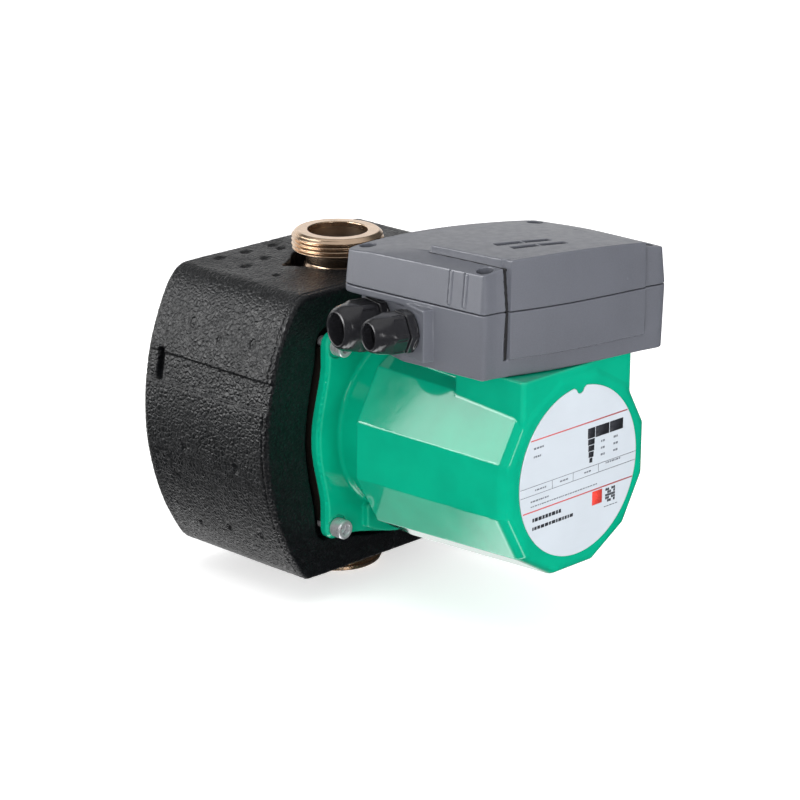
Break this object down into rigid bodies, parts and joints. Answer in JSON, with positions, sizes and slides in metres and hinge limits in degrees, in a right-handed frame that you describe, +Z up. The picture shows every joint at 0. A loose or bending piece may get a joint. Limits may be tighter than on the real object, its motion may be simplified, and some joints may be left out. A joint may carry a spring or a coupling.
{
  "type": "circulator pump",
  "caption": "Inline wet-rotor circulator pump with threaded bronze ports, twelve-sided motor, skewed terminal box with cable glands and a two-part foam insulation shell.",
  "frame": {"origin": "where the pipe axis (through both port centres) crosses the motor axis, half way between the two port faces", "axes": "+Z up along the pipe axis towards the upper port; the motor axis runs along Y with the nameplate end facing -Y; +X to the right seen from the nameplate end"},
  "size_m": [0.181, 0.2262, 0.202],
  "materials": {
    "bronze": "cast, machined threads",
    "stainless": "turned",
    "impeller_polymer": "moulded",
    "rotor_lamination": "laminated",
    "carbon": "sintered",
    "gasket_rubber": "moulded",
    "stator_lamination": "laminated",
    "copper_enamel": "enamelled wire",
    "green_paint": "gloss enamel on die cast aluminium",
    "label_foil": "satin foil",
    "foam": "moulded expanded foam",
    "box_plastic": "fine spark texture",
    "gland_plastic": "moulded gloss",
    "cream_plastic": "moulded",
    "capacitor_can": "drawn can",
    "clip_plastic": "moulded",
    "lead_brown": "extruded",
    "lead_blue": "extruded",
    "lead_black": "extruded",
    "screw_steel": "zinc plated",
    "terminal_brass": "plated"
  },
  "bodies": {
    "pump_body": {"pump_housing": "bronze", "wear_ring": "stainless", "front_bearing": "carbon", "rear_bearing": "carbon", "bearing_plate": "stainless", "rotor_can": "stainless", "flange_gasket": "gasket_rubber", "stator_core": "stator_lamination", "stator_winding_front": "copper_enamel", "stator_winding_rear": "copper_enamel", "motor_housing": "green_paint", "nameplate": "label_foil", "terminal_box_base": "box_plastic", "gland_body_large": "gland_plastic", "gland_body_small": "gland_plastic", "gland_seal_large": "gasket_rubber", "gland_seal_small": "gasket_rubber", "terminal_block": "cream_plastic", "capacitor": "capacitor_can", "capacitor_clip": "clip_plastic", "speed_switch": "cream_plastic", "motor_lead_1": "lead_brown", "motor_lead_2": "lead_blue", "motor_lead_3": "lead_black", "flange_screw_1": "screw_steel", "flange_screw_2": "screw_steel", "flange_screw_3": "screw_steel", "flange_screw_4": "screw_steel", "box_screw_1": "screw_steel", "box_screw_2": "screw_steel", "terminal_screw_1": "terminal_brass", "terminal_screw_2": "terminal_brass", "terminal_screw_3": "terminal_brass"},
    "rotor": {"rotor_shaft": "stainless", "rotor_core": "rotor_lamination", "impeller": "impeller_polymer", "impeller_nut": "stainless", "thrust_washer": "carbon"},
    "lid": {"terminal_box_lid": "box_plastic", "lid_gasket": "gasket_rubber", "lid_screw_1": "screw_steel", "lid_screw_2": "screw_steel", "lid_screw_3": "screw_steel", "lid_screw_4": "screw_steel"},
    "shell_left": {"insulation_left": "foam"},
    "shell_right": {"insulation_right": "foam"},
    "cap_nut_large": {"gland_nut_large": "gland_plastic"},
    "cap_nut_small": {"gland_nut_small": "gland_plastic"},
    "selector": {"speed_selector": "gland_plastic"}
  },
  "joints": [
    {"name": "rotor_spin", "type": "hinge", "parent": "pump_body", "child": "rotor", "pos_m": [0, -0.08, 0], "axis": [0, 1, 0], "continuous": true},
    {"name": "lid_lift", "type": "slide", "parent": "pump_body", "child": "lid", "axis": [0, 0, 1], "range_m": [0, 0.06]},
    {"name": "shell_left_pull", "type": "slide", "parent": "pump_body", "child": "shell_left", "axis": [-1, 0, 0], "range_m": [0, 0.1]},
    {"name": "shell_right_pull", "type": "slide", "parent": "pump_body", "child": "shell_right", "axis": [1, 0, 0], "range_m": [0, 0.1]},
    {"name": "cap_nut_large_turn", "type": "hinge", "parent": "pump_body", "child": "cap_nut_large", "pos_m": [-0.06522, -0.07783, 0.0679], "axis": [-0.9659, 0.2588, 0], "range_deg": [-30, 360]},
    {"name": "cap_nut_small_turn", "type": "hinge", "parent": "pump_body", "child": "cap_nut_small", "pos_m": [-0.07023, -0.10423, 0.0708], "axis": [-0.9659, 0.2588, 0], "range_deg": [-30, 360]},
    {"name": "selector_turn", "type": "hinge", "parent": "pump_body", "child": "selector", "pos_m": [0.03621, -0.12623, 0.075], "axis": [0, 0, 1], "range_deg": [0, 120]}
  ]
}
